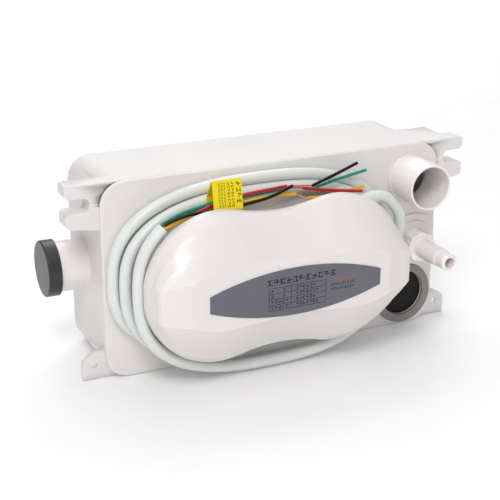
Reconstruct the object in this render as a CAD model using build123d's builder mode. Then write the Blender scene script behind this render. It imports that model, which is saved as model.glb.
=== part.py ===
# Condensate pump: a wall-hung reservoir with a front panel, a waisted motor cover on a cable
# spool, a front inlet, a barbed outlet, a plugged drain port, a capped side spout and a wound
# supply cable.  X runs along the reservoir, +Y towards the wall, +Z up; the origin is the middle
# of the base.  "Depth" is measured forwards from the front panel's face.
import os
from math import asin, cos, pi, radians, sin, sqrt, tan
from build123d import *

os.makedirs("parts", exist_ok=True)

# ------------------------------------------------------------ driving dimensions, millimetres
tank_length = 250.0
tank_height = 135.0
tank_depth = 73.0
tank_wall = 2.5
tank_corner = 16.0
tank_back_round = 3.0
panel_thickness = 2.0
panel_edge_round = 1.0
panel_rebate_width = 1.5
panel_rebate_depth = 0.6
tongue_depth = 6.0
tongue_wall = 2.0
gasket_width = 2.4
gasket_thickness = 0.9

upper_ear_reach = 22.0
upper_ear_drop = 28.0
upper_ear_thickness = 14.0
hook_slot_width = 7.5
hook_slot_height = 122.5
hook_slot_depth = 16.0
gusset_reach = 12.0
gusset_depth = 35.0
ear_nose_round = 2.0
ear_tip_round = 4.0
ear_foot_fall = 3.0
lower_ear_reach = 15.0
lower_ear_setback = 3.0
lower_ear_thickness = 3.0
lower_ear_height = 22.0
lower_ear_edge = 16.0
lower_ear_nose = 3.0
lower_hole_diameter = 4.5
lower_hole_height = 10.0
lower_hole_reach = 7.0

side_spout_diameter = 34.0
side_spout_wall = 2.0
side_spout_length = 21.0
side_spout_setback = 43.0
side_spout_height = 68.0
side_cap_wall = 2.0
side_cap_end = 2.5
side_cap_length = 6.5
side_cap_round = 1.0

inlet_diameter = 32.0
inlet_wall = 1.6
inlet_length = 29.0
inlet_x = 101.5
inlet_drop = 24.0
inlet_foot_diameter = 33.6
inlet_foot_height = 2.5

outlet_x = 107.0
outlet_z = 62.0
outlet_bore = 7.6
outlet_boss_diameter = 43.0
outlet_boss_margin = 1.2
outlet_boss_height = 3.0
outlet_step_diameter = 33.0
outlet_step_height = 1.5
shank_diameter = 14.0
collar_diameter = 22.6
collar_sides = 8
collar_length = 11.0
collar_chamfer = 0.6
barb_length = 34.0
barb_root_diameter = 14.2
barb_ridge_diameter = 14.8
barb_tip_diameter = 12.0
barb_nose_length = 10.0
barb_nose = 1.0
barb_lip = 2.0

port_x = 100.0
port_z = 24.0
port_bore = 33.4
port_ring_wall = 5.8
port_ring_height = 2.5
port_ring_round = 0.8
port_ring_clearance = 0.6
plug_recess = 3.5
plug_length = 9.0
plug_wall = 2.2

cover_x = -17.0
end_flat = 0.5
cover_z = 67.5
spool_depth = 33.0
spool_flange = 2.0
neck_wall = 2.4
neck_lobe = 42.0
neck_waist = 36.0
neck_spacing = 38.0
rim_lobe = 51.0
rim_waist = 45.5
rim_spacing = 41.5
shoulder_depth = 43.0
shoulder_lobe = 45.0
shoulder_waist = 37.5
shoulder_spacing = 45.5
face_depth = 53.0
face_end = 89.5
face_lobe = 29.5
face_waist = 21.0
face_lobe_radius = 60.0
face_spacing = 45.0
seat_depth = 58.0
seat_end = 70.0
seat_lobe = 20.0
seat_waist = 17.5
cover_wall = 2.4
cover_rim = 3.0
lip_height = 2.0
lip_wall = 1.6
crest_share = 0.22
label_length = 121.0
label_height = 32.0
label_end = 11.0
label_thickness = 0.5
label_shift_x = 2.0
label_shift_z = -1.0

motor_diameter = 56.0
motor_length = 32.0
motor_can_wall = 1.2
motor_hub_diameter = 16.0
motor_flange_thickness = 4.0
motor_standoff = 2.0
motor_screw_margin = 4.0
motor_flange_margin = 3.0
screw_diameter = 3.0
screw_head_diameter = 5.2
screw_head_height = 1.6
screw_clearance = 0.4
boss_diameter = 8.0
bearing_diameter = 12.0
bearing_width = 4.0
shaft_diameter = 5.0
shaft_gap = 0.03
stator_bore = 27.0
stator_length = 20.0
stator_setback = 5.0
stator_slots = 6
stator_slot_diameter = 9.0
stator_slot_circle = 38.0
rotor_diameter = 25.0
rotor_length = 22.0
coil_diameter = 46.0
coil_bore = 30.0
coil_width = 2.5
seal_diameter = 16.0
seal_length = 6.0
shaft_front = 40.0

volute_standoff = 4.0
volute_floor = 4.0
volute_wall = 3.0
volute_cover_thickness = 3.0
volute_screw_circle = 60.0
volute_screw_start = 200.0
volute_shaft_hole = 8.0
chamber_height = 11.0
chamber_radius = 20.0
chamber_growth = 1.5
channel_width = 9.0
channel_end = 32.0
impeller_diameter = 36.0
impeller_plate = 1.6
impeller_vane_height = 6.0
impeller_vane_thickness = 1.5
impeller_vanes = 6
impeller_hub = 11.0
impeller_sweep = 50.0
impeller_gap = 1.0
suction_bore = 13.0
suction_wall = 2.0
suction_bend = 14.0
strainer_wall = 1.6
strainer_diameter = 26.0
strainer_height = 14.0
strainer_slots = 8
strainer_slot_width = 3.0
strainer_clearance = 3.0
discharge_bore = 9.0
discharge_wall = 1.5
discharge_bend = 15.0
valve_housing_diameter = 22.0
valve_housing_wall = 2.5
valve_housing_length = 22.0
valve_end = 2.0
valve_chamber = 6.0
valve_seat_bore = 9.0
valve_seat_thickness = 2.0
valve_disc_diameter = 12.4
valve_disc_thickness = 1.2
valve_guide_length = 5.0
valve_guide_wall = 1.2
valve_gap = 0.05
valve_guide_gap = 0.4

float_x = 40.0
float_depth = 42.0
float_diameter = 24.0
float_height = 22.0
float_gap = 0.4
float_round = 2.0
stem_diameter = 8.0
stem_length = 66.0
bracket_height = 104.0
bracket_width = 18.0
bracket_thickness = 3.0
bracket_foot = 24.0
float_clearance = 0.6
clip_diameter = 13.0
clip_thickness = 1.2
clip_lift = 2.0

board_length = 58.0
board_height = 50.0
board_thickness = 1.6
board_corner = 3.0
board_post_height = 8.0
board_post_diameter = 6.0
board_hole_margin = 5.0
transformer_length = 24.0
transformer_height = 20.0
transformer_depth = 16.0
relay_length = 18.0
relay_height = 14.0
relay_depth = 14.0
capacitor_diameter = 10.0
capacitor_length = 12.0
terminal_length = 22.0
terminal_height = 9.0
terminal_depth = 10.0
terminal_shift = 9.0
terminal_hole = 3.5
terminal_hole_depth = 3.0
transformer_shift = 9.0
transformer_drop = 4.0
transformer_chamfer = 2.0
relay_shift = 15.0
relay_round = 1.0
capacitor_rise = 15.0

cable_diameter = 8.0
core_diameter = 2.2
copper_diameter = 1.2
copper_gap = 0.2
gland_diameter = 12.0
gland_length = 22.0
gland_angle = 60.0
gland_tilt = 15.0
gland_depth = 20.0
gland_lip = 0.8
gland_clearance = 0.3
coil_gap = 0.6
coil_depth = 30.4
coil_hollow = 1.0
coil_left = -125.0
coil_right = 84.0
coil_bottom = 8.0
coil_top = 130.0
coil_shoulder = 7.0
coil_shoulder_bottom = 6.0
coil_front_left = -107.0
coil_front_right = 82.0
coil_front_bottom = 1.5
coil_front_top = 101.0
coil_lobe_radius = 75.0
coil_spacing = 35.0
coil_clearance = 0.6
flag_x = -50.5
flag_length = 20.0
flag_thickness = 0.5
flag_round = 0.4
plug_clearance = 0.06

# ------------------------------------------------------------ derived places
front = -tank_depth / 2
rim = front + panel_thickness
half_length = tank_length / 2
inlet_z = tank_height - inlet_drop
motor_screw_circle = motor_diameter + 2 * motor_screw_margin
motor_flange_diameter = motor_screw_circle + 2 * motor_flange_margin
motor_x = cover_x - neck_spacing
motor_z = cover_z
board_x = cover_x + neck_spacing
board_z = cover_z


def facing(depth, x=0.0, z=0.0):
    """Sketch plane parallel to the panel, centred on x, z; a positive extrusion comes forwards."""
    return Plane(origin=(x, front - depth, z), x_dir=(1, 0, 0), z_dir=(0, -1, 0))


def place(x, depth, z):
    """Point at x, z, so far in front of the panel."""
    return (x, front - depth, z)


def waisted(end, lobe, waist, radius, spacing, inset=0.0):
    """Edges of two lobes joined by hollow arcs, cut straight at both ends; needs a make_face."""
    end, lobe, waist, radius = end - inset, lobe - inset, waist - inset, radius - inset
    rise = lobe - radius
    hollow = (spacing**2 + (waist - rise) ** 2 - radius**2) / (2 * (radius - waist + rise))
    reach = sqrt(spacing**2 + (waist + hollow - rise) ** 2)
    join_x = spacing * (1 - radius / reach)
    join_z = rise + radius * (waist + hollow - rise) / reach
    edge = rise + sqrt(radius**2 - (end - spacing) ** 2)
    for side in (1, -1):
        ThreePointArc((side * end, side * edge), (side * spacing, side * lobe),
                      (side * join_x, side * join_z))
        ThreePointArc((side * join_x, side * join_z), (0, side * waist),
                      (-side * join_x, side * join_z))
        ThreePointArc((-side * join_x, side * join_z), (-side * spacing, side * lobe),
                      (-side * end, side * edge))
        Line((-side * end, side * edge), (-side * end, -side * edge))


def save(part, name):
    part.label = name
    export_step(part, f"parts/{name}.step")


def bend_radii(points):
    """Bend radius at each inner point of a route: as wide as its shorter run allows."""
    radii = []
    for before, here, after in zip(points, points[1:], points[2:]):
        run_in = Vector(*here) - Vector(*before)
        run_out = Vector(*after) - Vector(*here)
        turn = radians(run_in.get_angle(run_out))
        radii.append(0.45 * min(run_in.length, run_out.length) / tan(turn / 2))
    return radii


def mixed(first, second, share):
    """A level of the cover part of the way from the first level to the second."""
    (depth, outline), (other_depth, other) = first, second
    return (depth + (other_depth - depth) * share,
            {key: outline[key] + (other[key] - outline[key]) * share for key in outline})


def softened(levels, share):
    """The cover's levels, with each inner corner replaced by three levels that round it."""
    soft = [levels[0]]
    for before, here, after in zip(levels, levels[1:], levels[2:]):
        below, above = mixed(here, before, share), mixed(here, after, share)
        soft += [below, mixed(here, mixed(below, above, 0.5), 0.5), above]
    return soft + [levels[-1]]


neck = dict(end=neck_spacing + neck_lobe - end_flat, lobe=neck_lobe, waist=neck_waist,
            radius=neck_lobe, spacing=neck_spacing)
rim_line = dict(end=rim_spacing + rim_lobe - end_flat, lobe=rim_lobe, waist=rim_waist,
                radius=rim_lobe, spacing=rim_spacing)
shoulder = dict(end=shoulder_spacing + shoulder_lobe - end_flat, lobe=shoulder_lobe,
                waist=shoulder_waist, radius=shoulder_lobe, spacing=shoulder_spacing)
face = dict(end=face_end, lobe=face_lobe, waist=face_waist, radius=face_lobe_radius,
            spacing=face_spacing)
seat = dict(end=seat_end, lobe=seat_lobe, waist=seat_waist, radius=face_lobe_radius,
            spacing=face_spacing)

# ------------------------------------------------------------ reservoir
inner_length = tank_length - 2 * tank_wall
inner_height = tank_height - 2 * tank_wall
inner_corner = tank_corner - tank_wall
ear_root = half_length - tank_corner
ear_end = half_length + upper_ear_reach
ear_foot = tank_height - upper_ear_drop
slot_end = ear_end - hook_slot_depth + hook_slot_width / 2
lower_ear_end = half_length + lower_ear_reach
side_spout_bore = side_spout_diameter - 2 * side_spout_wall
side_y = front + side_spout_setback

with BuildPart() as tank_shell:
    with BuildSketch(facing(-panel_thickness)):
        with Locations((0, tank_height / 2)):
            RectangleRounded(tank_length, tank_height, tank_corner)
    extrude(amount=panel_thickness - tank_depth)
    fillet(tank_shell.faces().sort_by(Axis.Y)[-1].edges(), tank_back_round)
    for side in (1, -1):
        # upper ear, a deep lug over the wall hook
        with BuildSketch(facing(-panel_thickness)) as ear:
            with BuildLine():
                Polyline((side * ear_root, tank_height), (side * ear_end, tank_height),
                         (side * ear_end, ear_foot), (side * half_length, ear_foot - ear_foot_fall),
                         (side * ear_root, ear_foot - ear_foot_fall), close=True)
            make_face()
            ear_corners = ear.vertices().group_by(Axis.X)[-1 if side > 0 else 0].sort_by(Axis.Y)
            fillet(ear_corners[-1], ear_nose_round)
            fillet(ear_corners[0], ear_tip_round)
        extrude(amount=-upper_ear_thickness)
        # lower ear, a thin plate with a screw hole
        with BuildSketch(facing(-panel_thickness - lower_ear_setback)):
            with BuildLine():
                Polyline((side * ear_root, 0), (side * lower_ear_end, 0),
                         (side * lower_ear_end, lower_ear_edge - lower_ear_nose),
                         (side * (lower_ear_end - lower_ear_nose), lower_ear_edge),
                         (side * half_length, lower_ear_height),
                         (side * ear_root, lower_ear_height), close=True)
            make_face()
        extrude(amount=-lower_ear_thickness)
    # block that stiffens the right upper ear
    with BuildSketch(facing(-panel_thickness)):
        with BuildLine():
            Polyline((ear_root, tank_height), (half_length + gusset_reach, tank_height),
                     (half_length + gusset_reach, ear_foot), (ear_root, ear_foot), close=True)
        make_face()
    extrude(amount=-gusset_depth)
    # cavity, open at the front
    with BuildSketch(facing(-panel_thickness)):
        with Locations((0, tank_height / 2)):
            RectangleRounded(inner_length, inner_height, inner_corner)
    extrude(amount=panel_thickness + tank_wall - tank_depth, mode=Mode.SUBTRACT)
    for side in (1, -1):
        with BuildSketch(facing(-panel_thickness, side * slot_end, hook_slot_height)):
            Circle(hook_slot_width / 2)
            with Locations((side * (ear_end - slot_end) / 2, 0)):
                Rectangle(ear_end - slot_end, hook_slot_width)
        extrude(amount=-gusset_depth, mode=Mode.SUBTRACT)
        with BuildSketch(facing(-panel_thickness - lower_ear_setback,
                                side * (half_length + lower_hole_reach), lower_hole_height)):
            Circle(lower_hole_diameter / 2)
        extrude(amount=-lower_ear_thickness, mode=Mode.SUBTRACT)
    with BuildSketch(Plane.YZ.offset(-half_length)):
        with Locations((side_y, side_spout_height)):
            Circle(side_spout_bore / 2)
    extrude(amount=tank_wall, mode=Mode.SUBTRACT)
save(tank_shell.part, "tank_shell")

# ------------------------------------------------------------ front panel and its gasket
inlet_bore = inlet_diameter - 2 * inlet_wall
port_ring_diameter = port_bore + 2 * port_ring_wall
board_hole_x = board_length - 2 * board_hole_margin
board_hole_z = board_height - 2 * board_hole_margin
with BuildPart() as front_panel:
    with BuildSketch(facing(0)):
        with Locations((0, tank_height / 2)):
            RectangleRounded(tank_length, tank_height, tank_corner)
    extrude(amount=-panel_thickness)
    fillet(front_panel.faces().sort_by(Axis.Y)[0].edges(), panel_edge_round)
    # shadow gap round the joint with the reservoir
    with BuildSketch(facing(-panel_thickness)):
        with Locations((0, tank_height / 2)):
            RectangleRounded(tank_length, tank_height, tank_corner)
            RectangleRounded(tank_length - 2 * panel_rebate_width,
                             tank_height - 2 * panel_rebate_width,
                             tank_corner - panel_rebate_width, mode=Mode.SUBTRACT)
    extrude(amount=panel_rebate_depth, mode=Mode.SUBTRACT)
    # tongue inside the reservoir's rim
    with BuildSketch(facing(-panel_thickness)):
        with Locations((0, tank_height / 2)):
            RectangleRounded(inner_length - 2 * gasket_thickness,
                             inner_height - 2 * gasket_thickness,
                             inner_corner - gasket_thickness)
            RectangleRounded(inner_length - 2 * (gasket_thickness + tongue_wall),
                             inner_height - 2 * (gasket_thickness + tongue_wall),
                             inner_corner - gasket_thickness - tongue_wall,
                             mode=Mode.SUBTRACT)
    extrude(amount=-tongue_depth)
    # stepped boss round the outlet, trimmed to the panel and clear of the port's ring
    with BuildSketch(facing(0, outlet_x, outlet_z)):
        Circle(outlet_boss_diameter / 2)
        with Locations((port_x - outlet_x, port_z - outlet_z)):
            Circle(port_ring_diameter / 2 + port_ring_clearance, mode=Mode.SUBTRACT)
        with Locations((half_length - outlet_boss_margin - outlet_x + outlet_boss_diameter / 2, 0)):
            Rectangle(outlet_boss_diameter, tank_height, mode=Mode.SUBTRACT)
    extrude(amount=outlet_boss_height - outlet_step_height)
    with BuildSketch(facing(outlet_boss_height - outlet_step_height, outlet_x, outlet_z)):
        Circle(outlet_step_diameter / 2)
        with Locations((port_x - outlet_x, port_z - outlet_z)):
            Circle(port_ring_diameter / 2 + port_ring_clearance, mode=Mode.SUBTRACT)
    extrude(amount=outlet_step_height)
    # bosses for the motor and posts for the circuit board, in front
    with BuildSketch(facing(0, motor_x, motor_z)):
        with PolarLocations(motor_screw_circle / 2, 4, start_angle=45):
            Circle(boss_diameter / 2)
            Circle(screw_diameter / 2, mode=Mode.SUBTRACT)
    extrude(amount=motor_standoff)
    with BuildSketch(facing(0, board_x, board_z)):
        with GridLocations(board_hole_x, board_hole_z, 2, 2):
            Circle(board_post_diameter / 2)
            Circle(screw_diameter / 2, mode=Mode.SUBTRACT)
    extrude(amount=board_post_height)
    # bosses for the pump's body, behind
    with BuildSketch(facing(-panel_thickness, motor_x, motor_z)):
        with PolarLocations(volute_screw_circle / 2, 3, start_angle=volute_screw_start):
            Circle(boss_diameter / 2)
            Circle(screw_diameter / 2, mode=Mode.SUBTRACT)
    extrude(amount=-volute_standoff)
    # through holes
    for hole_x, hole_z, hole in ((motor_x, motor_z, seal_diameter), (inlet_x, inlet_z, inlet_diameter),
                                 (outlet_x, outlet_z, shank_diameter), (port_x, port_z, port_bore)):
        with BuildSketch(facing(outlet_boss_height, hole_x, hole_z)):
            Circle(hole / 2)
        extrude(amount=-(outlet_boss_height + panel_thickness), mode=Mode.SUBTRACT)
save(front_panel.part, "front_panel")

with BuildPart() as panel_gasket:
    with BuildSketch(facing(-panel_thickness)):
        with Locations((0, tank_height / 2)):
            RectangleRounded(inner_length, inner_height, inner_corner)
            RectangleRounded(inner_length - 2 * gasket_thickness,
                             inner_height - 2 * gasket_thickness,
                             inner_corner - gasket_thickness, mode=Mode.SUBTRACT)
    extrude(amount=-gasket_width)
save(panel_gasket.part, "panel_gasket")

# ------------------------------------------------------------ side spout and its push-on cap
with BuildPart() as side_spout:
    with BuildSketch(Plane.YZ.offset(-half_length)):
        with Locations((side_y, side_spout_height)):
            Circle(side_spout_diameter / 2)
            Circle(side_spout_bore / 2, mode=Mode.SUBTRACT)
    extrude(amount=-side_spout_length)
save(side_spout.part, "side_spout")

with BuildPart() as side_cap:
    with BuildSketch(Plane.YZ.offset(-half_length - side_spout_length - side_cap_end)):
        with Locations((side_y, side_spout_height)):
            Circle(side_spout_diameter / 2 + plug_clearance + side_cap_wall)
    extrude(amount=side_cap_end + side_cap_length)
    fillet(side_cap.faces().sort_by(Axis.X)[0].edges(), side_cap_round)
    with BuildSketch(Plane.YZ.offset(-half_length - side_spout_length)):
        with Locations((side_y, side_spout_height)):
            Circle(side_spout_diameter / 2 + plug_clearance)
    extrude(amount=side_cap_length, mode=Mode.SUBTRACT)
save(side_cap.part, "side_cap")

# ------------------------------------------------------------ front inlet
with BuildPart() as inlet_spout:
    with BuildSketch(facing(-panel_thickness, inlet_x, inlet_z)):
        Circle(inlet_diameter / 2)
        Circle(inlet_bore / 2, mode=Mode.SUBTRACT)
    extrude(amount=panel_thickness + inlet_length)
    fillet(inlet_spout.faces().sort_by(Axis.Y)[0].edges(), inlet_wall / 3)
    with BuildSketch(facing(0, inlet_x, inlet_z)):
        Circle(inlet_foot_diameter / 2)
        Circle(inlet_diameter / 2, mode=Mode.SUBTRACT)
    extrude(amount=inlet_foot_height)
save(inlet_spout.part, "inlet_spout")

# ------------------------------------------------------------ outlet fitting: collar and barb
barb_start = outlet_boss_height + collar_length
barb_end = barb_start + barb_length
barb_step = barb_end - barb_nose_length
with BuildPart() as outlet_fitting:
    with BuildSketch(facing(-panel_thickness, outlet_x, outlet_z)):
        Circle(shank_diameter / 2)
    extrude(amount=panel_thickness + outlet_boss_height)
    with BuildSketch(facing(outlet_boss_height, outlet_x, outlet_z)):
        RegularPolygon(collar_diameter / 2, collar_sides, rotation=90)
    extrude(amount=collar_length)
    chamfer(outlet_fitting.faces().sort_by(Axis.Y)[0].edges(), collar_chamfer)
    with BuildSketch(Plane.XY.offset(outlet_z)):
        with BuildLine():
            Polyline((outlet_x, front - barb_start),
                     (outlet_x + barb_root_diameter / 2, front - barb_start),
                     (outlet_x + barb_root_diameter / 2, front - barb_step + 2 * barb_lip),
                     (outlet_x + barb_ridge_diameter / 2, front - barb_step + barb_lip),
                     (outlet_x + barb_ridge_diameter / 2, front - barb_step),
                     (outlet_x + barb_tip_diameter / 2, front - barb_step),
                     (outlet_x + barb_tip_diameter / 2, front - barb_end + barb_nose),
                     (outlet_x + barb_tip_diameter / 2 - barb_nose, front - barb_end),
                     (outlet_x, front - barb_end), close=True)
        make_face()
    revolve(axis=Axis((outlet_x, front, outlet_z), (0, 1, 0)))
    with BuildSketch(facing(barb_end, outlet_x, outlet_z)):
        Circle(outlet_bore / 2)
    extrude(amount=-(barb_end + panel_thickness), mode=Mode.SUBTRACT)
save(outlet_fitting.part, "outlet_fitting")

# ------------------------------------------------------------ drain port: clamp ring and plug
with BuildPart() as port_ring:
    with BuildSketch(facing(0, port_x, port_z)):
        Circle(port_ring_diameter / 2)
        Circle(port_bore / 2, mode=Mode.SUBTRACT)
    extrude(amount=port_ring_height)
    fillet(port_ring.faces().sort_by(Axis.Y)[0].edges(), port_ring_round)
save(port_ring.part, "port_ring")

plug_face = port_ring_height - plug_recess
with BuildPart() as port_plug:
    with BuildSketch(facing(plug_face, port_x, port_z)):
        Circle(port_bore / 2 - plug_clearance)
    extrude(amount=-plug_length)
    with BuildSketch(facing(plug_face - plug_length, port_x, port_z)):
        Circle(port_bore / 2 - plug_clearance - plug_wall)
    extrude(amount=plug_length - plug_wall, mode=Mode.SUBTRACT)
save(port_plug.part, "port_plug")

# ------------------------------------------------------------ cable spool and motor cover
with BuildPart() as cable_spool:
    with BuildSketch(facing(0, cover_x, cover_z)):
        with BuildLine():
            waisted(**neck)
        make_face()
    extrude(amount=spool_depth)
    with BuildSketch(facing(spool_depth, cover_x, cover_z)):
        with BuildLine():
            waisted(**rim_line)
        make_face()
    extrude(amount=-spool_flange)
    # lip that centres the cover
    with BuildSketch(facing(spool_depth, cover_x, cover_z)):
        with BuildLine():
            waisted(**rim_line, inset=cover_wall)
        make_face()
    extrude(amount=lip_height)
    with BuildSketch(facing(spool_depth, cover_x, cover_z)):
        with BuildLine():
            waisted(**rim_line, inset=cover_wall + lip_wall)
        make_face()
    extrude(amount=lip_height, mode=Mode.SUBTRACT)
    with BuildSketch(facing(0, cover_x, cover_z)):
        with BuildLine():
            waisted(**neck, inset=neck_wall)
        make_face()
    extrude(amount=spool_depth, mode=Mode.SUBTRACT)
save(cable_spool.part, "cable_spool")

cover_top = spool_depth + cover_rim
cover_levels = [(cover_top, rim_line), (shoulder_depth, shoulder), (face_depth, face),
                (seat_depth, seat)]
cavity_levels = [(cover_top, rim_line), (shoulder_depth - cover_wall, shoulder),
                 (face_depth - cover_wall, face), (seat_depth - cover_wall, seat)]
with BuildPart() as dome_cover:
    for depth, outline in softened(cover_levels, crest_share):
        with BuildSketch(facing(depth, cover_x, cover_z)):
            with BuildLine():
                waisted(**outline)
            make_face()
    loft(ruled=True)
    with BuildSketch(facing(spool_depth, cover_x, cover_z)):
        with BuildLine():
            waisted(**rim_line)
        make_face()
    extrude(amount=cover_rim)
    for depth, outline in softened(cavity_levels, crest_share):
        with BuildSketch(facing(depth, cover_x, cover_z)):
            with BuildLine():
                waisted(**outline, inset=cover_wall)
            make_face()
    loft(ruled=True, mode=Mode.SUBTRACT)
    with BuildSketch(facing(spool_depth, cover_x, cover_z)):
        with BuildLine():
            waisted(**rim_line, inset=cover_wall)
        make_face()
    extrude(amount=cover_rim, mode=Mode.SUBTRACT)
save(dome_cover.part, "dome_cover")

with BuildPart() as label_plate:
    with BuildSketch(facing(seat_depth, cover_x + label_shift_x, cover_z + label_shift_z)):
        with BuildLine():
            for side in (1, -1):
                ThreePointArc((-side * label_length / 2, side * label_end / 2),
                              (0, side * label_height / 2),
                              (side * label_length / 2, side * label_end / 2))
                Line((side * label_length / 2, side * label_end / 2),
                     (side * label_length / 2, -side * label_end / 2))
        make_face()
    extrude(amount=label_thickness)
save(label_plate.part, "label_plate")

# ------------------------------------------------------------ motor, under the cover
flange_front = motor_standoff + motor_flange_thickness
can_front = flange_front + motor_length
stator_back = flange_front + stator_setback
stator_front = stator_back + stator_length
with BuildPart() as motor_bracket:
    with BuildSketch(facing(motor_standoff, motor_x, motor_z)):
        Circle(motor_flange_diameter / 2)
        Circle(bearing_diameter / 2, mode=Mode.SUBTRACT)
        with PolarLocations(motor_screw_circle / 2, 4, start_angle=45):
            Circle((screw_diameter + screw_clearance) / 2, mode=Mode.SUBTRACT)
    extrude(amount=motor_flange_thickness)
save(motor_bracket.part, "motor_bracket")

with BuildPart() as motor_can:
    with BuildSketch(facing(flange_front, motor_x, motor_z)):
        Circle(motor_diameter / 2)
    extrude(amount=motor_length)
    fillet(motor_can.faces().sort_by(Axis.Y)[0].edges(), 2 * motor_can_wall)
    with BuildSketch(facing(flange_front, motor_x, motor_z)):
        Circle(motor_diameter / 2 - motor_can_wall)
    extrude(amount=motor_length - motor_can_wall, mode=Mode.SUBTRACT)
    with BuildSketch(facing(can_front, motor_x, motor_z)):
        Circle(motor_hub_diameter / 2)
    extrude(amount=-bearing_width)
    with BuildSketch(facing(can_front, motor_x, motor_z)):
        Circle(bearing_diameter / 2)
    extrude(amount=-bearing_width, mode=Mode.SUBTRACT)
save(motor_can.part, "motor_can")

with BuildPart() as stator_core:
    with BuildSketch(facing(stator_back, motor_x, motor_z)):
        Circle(motor_diameter / 2 - motor_can_wall)
        Circle(stator_bore / 2, mode=Mode.SUBTRACT)
        with PolarLocations(stator_slot_circle / 2, stator_slots):
            Circle(stator_slot_diameter / 2, mode=Mode.SUBTRACT)
    extrude(amount=stator_length)
save(stator_core.part, "stator_core")

with BuildPart() as motor_coils:
    for end in (stator_back - coil_width, stator_front):
        with BuildSketch(facing(end, motor_x, motor_z)):
            Circle(coil_diameter / 2)
            Circle(coil_bore / 2, mode=Mode.SUBTRACT)
        extrude(amount=coil_width)
save(motor_coils.part, "motor_coils")

with BuildPart() as rotor_magnet:
    with BuildSketch(facing(stator_back + (stator_length - rotor_length) / 2, motor_x, motor_z)):
        Circle(rotor_diameter / 2)
        Circle(shaft_diameter / 2, mode=Mode.SUBTRACT)
    extrude(amount=rotor_length)
save(rotor_magnet.part, "rotor_magnet")

chamber_back = panel_thickness + volute_standoff + volute_floor
impeller_back = chamber_back + impeller_gap
impeller_end = impeller_back + impeller_plate + impeller_vane_height
with BuildPart() as rotor_shaft:
    with BuildSketch(facing(-impeller_end, motor_x, motor_z)):
        Circle(shaft_diameter / 2)
    extrude(amount=impeller_end + shaft_front)
save(rotor_shaft.part, "rotor_shaft")

with BuildPart() as front_bearing:
    with BuildSketch(facing(can_front, motor_x, motor_z)):
        Circle(bearing_diameter / 2)
        Circle(shaft_diameter / 2 + shaft_gap, mode=Mode.SUBTRACT)
    extrude(amount=-bearing_width)
save(front_bearing.part, "front_bearing")

with BuildPart() as rear_bearing:
    with BuildSketch(facing(motor_standoff, motor_x, motor_z)):
        Circle(bearing_diameter / 2)
        Circle(shaft_diameter / 2 + shaft_gap, mode=Mode.SUBTRACT)
    extrude(amount=bearing_width)
save(rear_bearing.part, "rear_bearing")

with BuildPart() as motor_screws:
    with BuildSketch(facing(flange_front, motor_x, motor_z)):
        with PolarLocations(motor_screw_circle / 2, 4, start_angle=45):
            Circle(screw_head_diameter / 2)
    extrude(amount=screw_head_height)
    with BuildSketch(facing(flange_front, motor_x, motor_z)):
        with PolarLocations(motor_screw_circle / 2, 4, start_angle=45):
            Circle(screw_diameter / 2)
    extrude(amount=-flange_front)
save(motor_screws.part, "motor_screws")

with BuildPart() as shaft_seal:
    with BuildSketch(facing(motor_standoff, motor_x, motor_z)):
        Circle(seal_diameter / 2)
        Circle(shaft_diameter / 2 + shaft_gap, mode=Mode.SUBTRACT)
    extrude(amount=-seal_length)
save(shaft_seal.part, "shaft_seal")

# ------------------------------------------------------------ pump, inside the reservoir
chamber_front = chamber_back + chamber_height
channel_z = chamber_radius + 3 * chamber_growth - channel_width / 2


def scroll(wall=0.0):
    """Spiral of quarter arcs that opens into a straight channel; needs a make_face."""
    first = chamber_radius + wall
    second = first + chamber_growth
    third = second + chamber_growth
    middle = second - first
    tongue_z = channel_z - channel_width / 2 - wall
    tongue_x = sqrt(first**2 - tongue_z**2)
    half = sqrt(0.5)
    ThreePointArc((first, 0), (first * half, -first * half), (0, -first))
    ThreePointArc((0, -first), (-second * half, middle - second * half), (-second, middle))
    ThreePointArc((-second, middle), (third - second - third * half, middle + third * half),
                  (third - second, middle + third))
    Polyline((third - second, middle + third), (channel_end, middle + third),
             (channel_end, tongue_z), (tongue_x, tongue_z))
    middle_angle = 0.5 * asin(tongue_z / first)
    ThreePointArc((tongue_x, tongue_z),
                  (first * cos(middle_angle), first * sin(middle_angle)), (first, 0))


with BuildPart() as volute:
    with BuildSketch(facing(-chamber_front, motor_x, motor_z)):
        with BuildLine():
            scroll(volute_wall)
        make_face()
        with PolarLocations(volute_screw_circle / 2, 3, start_angle=volute_screw_start):
            Circle(boss_diameter / 2)
        with PolarLocations(volute_screw_circle / 4, 3, start_angle=volute_screw_start):
            Rectangle(volute_screw_circle / 2, boss_diameter)
    extrude(amount=chamber_height + volute_floor)
    with BuildSketch(facing(-chamber_front, motor_x, motor_z)):
        with BuildLine():
            scroll()
        make_face()
    extrude(amount=chamber_height, mode=Mode.SUBTRACT)
    with BuildSketch(facing(-chamber_front, motor_x, motor_z)):
        Circle(volute_shaft_hole / 2)
        with PolarLocations(volute_screw_circle / 2, 3, start_angle=volute_screw_start):
            Circle((screw_diameter + screw_clearance) / 2)
    extrude(amount=chamber_height + volute_floor, mode=Mode.SUBTRACT)
save(volute.part, "volute")

with BuildPart() as volute_cover:
    with BuildSketch(facing(-chamber_front, motor_x, motor_z)):
        with BuildLine():
            scroll(volute_wall)
        make_face()
        with PolarLocations(volute_screw_circle / 4, 3, start_angle=volute_screw_start):
            Rectangle(volute_screw_circle / 2, boss_diameter)
        with PolarLocations(volute_screw_circle / 2, 3, start_angle=volute_screw_start):
            Circle(boss_diameter / 2)
            Circle((screw_diameter + screw_clearance) / 2, mode=Mode.SUBTRACT)
        Circle(suction_bore / 2, mode=Mode.SUBTRACT)
    extrude(amount=-volute_cover_thickness)
save(volute_cover.part, "volute_cover")

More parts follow.
